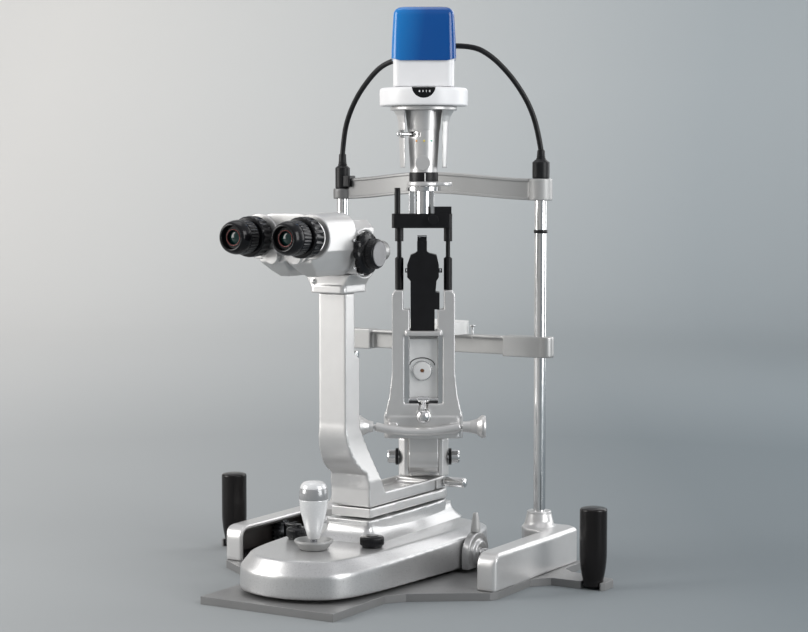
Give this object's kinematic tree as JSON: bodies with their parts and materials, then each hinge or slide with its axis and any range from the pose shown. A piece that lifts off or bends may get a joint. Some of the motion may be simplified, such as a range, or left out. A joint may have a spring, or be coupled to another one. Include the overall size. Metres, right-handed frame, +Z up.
{
  "type": "slit lamp",
  "caption": "Slit lamp on a base plate: binocular microscope and LED illumination tower that swing on one axis, on a joystick base that rolls on rails, with a chin and head rest.",
  "frame": {"origin": "centre of the base plate's underside, on the line under the joystick and the swing axis", "axes": "+X to the operator's right, +Y from the operator towards the patient, +Z up"},
  "size_m": [0.494, 0.3795, 0.6135],
  "materials": {
    "plate_satin": "satin",
    "silver_paint": "satin metallic",
    "base_silver": "satin metallic",
    "grip_black": "gloss",
    "polished_steel": "polished",
    "steel": "brushed",
    "aluminium_satin": "satin",
    "black_plastic": "matt",
    "black_gloss": "gloss",
    "cable_black": "matt",
    "pad_rubber": "soft",
    "cup_white": "matt",
    "knob_grey": "satin",
    "black_metal": "satin",
    "lamp_white": "satin",
    "cap_blue": "gloss",
    "optic_glass": "polished",
    "front_mirror": "mirror",
    "circuit": "matt"
  },
  "bodies": {
    "frame": {"base_plate": "plate_satin", "rail_cover_left": "silver_paint", "rail_cover_right": "silver_paint", "gear_racks": "black_metal", "patient_grips": "grip_black", "uprights": "polished_steel", "forehead_band": "aluminium_satin", "forehead_pad": "pad_rubber", "cable_connector_left": "black_plastic", "cable_connector_right": "black_plastic", "lamp_cable_left": "cable_black", "lamp_cable_right": "cable_black"},
    "chin_rest": {"chin_rest_frame": "silver_paint", "chin_cup": "cup_white", "paper_pins": "polished_steel"},
    "chin_ring": {"chin_height_ring": "polished_steel"},
    "carriage": {"axle_bushes": "black_metal"},
    "axle": {"axle_shaft": "polished_steel", "gear_wheels": "steel"},
    "base": {"base_casting": "base_silver", "axle_flanges": "base_silver", "pedestal_shroud": "base_silver", "joystick_collar": "aluminium_satin"},
    "base_lock": {"base_lock_lever": "aluminium_satin"},
    "brightness": {"brightness_knob": "black_gloss"},
    "slide_lock": {"slide_lock_knob": "black_gloss"},
    "stick_ring": {"joystick_gimbal": "steel"},
    "stick": {"joystick_stem": "steel"},
    "stick_grip": {"joystick_grip": "knob_grey"},
    "lift": {"elevation_shaft": "polished_steel", "pivot_block": "silver_paint"},
    "microscope": {"microscope_arm": "silver_paint", "head_support": "silver_paint", "magnification_housing": "silver_paint", "binocular_housing": "silver_paint", "objective_lenses": "optic_glass"},
    "swing_lock": {"swing_lock_knob": "polished_steel"},
    "magnification": {"magnification_knob": "black_gloss", "magnification_drum": "black_metal"},
    "eye_right": {"eyepiece_right": "black_metal"},
    "eye_left": {"eyepiece_left": "black_metal"},
    "eye_ring_right": {"dioptre_ring_right": "black_plastic"},
    "eye_ring_left": {"dioptre_ring_left": "black_plastic"},
    "tower_foot": {"illumination_hub": "silver_paint"},
    "tower": {"yoke_casting": "silver_paint", "latch_plate": "polished_steel", "linkage_rods": "black_metal", "mirror_holder": "black_metal", "mirror": "front_mirror", "crossbar": "black_metal", "lens_tube": "polished_steel", "lamp_housing": "lamp_white", "lamp_cap": "cap_blue", "led_module": "circuit"},
    "tilt_grip": {"tilt_knobs": "polished_steel"},
    "latch": {"tilt_release_lever": "polished_steel"},
    "slit_width": {"slit_width_knobs": "silver_paint"},
    "slit_head": {"slit_barrel": "silver_paint"},
    "filter": {"filter_lever": "polished_steel"},
    "apertures": {"aperture_disc": "silver_paint"}
  },
  "joints": [
    {"name": "chin_rest_height", "type": "slide", "parent": "frame", "child": "chin_rest", "axis": [0, 0, 1], "range_m": [-0.02, 0.04]},
    {"name": "chin_ring_turn", "type": "hinge", "parent": "chin_rest", "child": "chin_ring", "pos_m": [-0.129, 0.174, 0.222], "axis": [0, 0, 1], "range_deg": [-310, 610]},
    {"name": "fore_aft", "type": "slide", "parent": "frame", "child": "carriage", "axis": [0, 1, 0], "range_m": [-0.06, 0.02], "deforming": ["lamp_cable_left", "lamp_cable_right"]},
    {"name": "axle_roll", "type": "hinge", "parent": "carriage", "child": "axle", "pos_m": [0, 0.085, 0.027], "axis": [1, 0, 0], "range_deg": [-110, 300]},
    {"name": "cross_slide", "type": "slide", "parent": "carriage", "child": "base", "axis": [-1, 0, 0], "range_m": [-0.03, 0.03], "deforming": ["lamp_cable_left", "lamp_cable_right"]},
    {"name": "base_lock_turn", "type": "hinge", "parent": "base", "child": "base_lock", "pos_m": [0.097, 0.085, 0.055], "axis": [0, 0, 1], "range_deg": [0, 90]},
    {"name": "brightness_turn", "type": "hinge", "parent": "base", "child": "brightness", "pos_m": [0.046, -0.046, 0.055], "axis": [0, 0, 1], "range_deg": [-135, 135]},
    {"name": "slide_lock_turn", "type": "hinge", "parent": "base", "child": "slide_lock", "pos_m": [-0.046, -0.046, 0.055], "axis": [0, 0, 1], "range_deg": [-135, 135]},
    {"name": "stick_pitch", "type": "hinge", "parent": "base", "child": "stick_ring", "pos_m": [0, -0.086, 0.036], "axis": [1, 0, 0], "range_deg": [-10, 10]},
    {"name": "stick_roll", "type": "hinge", "parent": "stick_ring", "child": "stick", "pos_m": [0, -0.086, 0.036], "axis": [0, 1, 0], "range_deg": [-10, 10]},
    {"name": "stick_twist", "type": "hinge", "parent": "stick", "child": "stick_grip", "pos_m": [0, -0.086, 0.08], "axis": [0, 0, 1], "range_deg": [-10, 550]},
    {"name": "elevation", "type": "slide", "parent": "base", "child": "lift", "axis": [0, 0, 1], "range_m": [0, 0.03], "deforming": ["lamp_cable_left", "lamp_cable_right"]},
    {"name": "microscope_swing", "type": "hinge", "parent": "lift", "child": "microscope", "pos_m": [0, 0.14, 0.1], "axis": [0, 0, -1], "range_deg": [-50, 50]},
    {"name": "swing_lock_turn", "type": "hinge", "parent": "microscope", "child": "swing_lock", "pos_m": [0.04, 0.143, 0.0915], "axis": [1, 0, 0], "range_deg": [-90, 90]},
    {"name": "magnification_turn", "type": "hinge", "parent": "microscope", "child": "magnification", "pos_m": [0.04, -0.044, 0.3545], "axis": [1, 0, 0], "continuous": true},
    {"name": "pupil_distance_right", "type": "hinge", "parent": "microscope", "child": "eye_right", "pos_m": [0.014, -0.136, 0.354], "axis": [0, 1, 0], "range_deg": [-12, 12]},
    {"name": "pupil_distance_left", "type": "hinge", "parent": "microscope", "child": "eye_left", "pos_m": [-0.014, -0.136, 0.354], "axis": [0, 1, 0], "range_deg": [-12, 12]},
    {"name": "dioptre_right", "type": "hinge", "parent": "eye_right", "child": "eye_ring_right", "pos_m": [0.031, -0.17, 0.374], "axis": [0, 1, 0], "range_deg": [-60, 60]},
    {"name": "dioptre_left", "type": "hinge", "parent": "eye_left", "child": "eye_ring_left", "pos_m": [-0.031, -0.17, 0.374], "axis": [0, 1, 0], "range_deg": [-60, 60]},
    {"name": "illumination_swing", "type": "hinge", "parent": "lift", "child": "tower_foot", "pos_m": [0, 0.14, 0.12], "axis": [0, 0, 1], "range_deg": [-90, 15], "deforming": ["lamp_cable_left", "lamp_cable_right"]},
    {"name": "illumination_tilt", "type": "hinge", "parent": "tower_foot", "child": "tower", "pos_m": [0.019, 0.10709, 0.1237], "axis": [0.866, 0.5, 0], "range_deg": [0, 20], "deforming": ["lamp_cable_left", "lamp_cable_right"]},
    {"name": "tilt_grip_turn", "type": "hinge", "parent": "tower_foot", "child": "tilt_grip", "pos_m": [0.019, 0.10709, 0.1237], "axis": [0.866, 0.5, 0], "range_deg": [-90, 90]},
    {"name": "latch_lift", "type": "hinge", "parent": "tower", "child": "latch", "pos_m": [0.0395, 0.07158, 0.192], "axis": [-0.866, -0.5, 0], "range_deg": [0, 25]},
    {"name": "slit_width_turn", "type": "hinge", "parent": "tower", "child": "slit_width", "pos_m": [0.046, 0.06033, 0.164], "axis": [0.866, 0.5, 0], "range_deg": [-120, 120]},
    {"name": "slit_rotation", "type": "hinge", "parent": "tower", "child": "slit_head", "pos_m": [0.035, 0.07938, 0.47], "axis": [0, 0, 1], "range_deg": [-90, 90]},
    {"name": "filter_slide", "type": "hinge", "parent": "slit_head", "child": "filter", "pos_m": [0.035, 0.07938, 0.47], "axis": [0, 0, 1], "range_deg": [0, 40]},
    {"name": "aperture_turn", "type": "hinge", "parent": "slit_head", "child": "apertures", "pos_m": [0.035, 0.07938, 0.47], "axis": [0, 0, 1], "continuous": true}
  ],
  "couplings": [
    {"joint": "chin_ring_turn", "follows": "chin_rest_height", "rad_per_m": 261.8},
    {"joint": "axle_roll", "follows": "fore_aft", "rad_per_m": -83.333},
    {"joint": "stick_twist", "follows": "elevation", "rad_per_m": 314.16},
    {"joint": "pupil_distance_left", "follows": "pupil_distance_right", "ratio": -1}
  ]
}
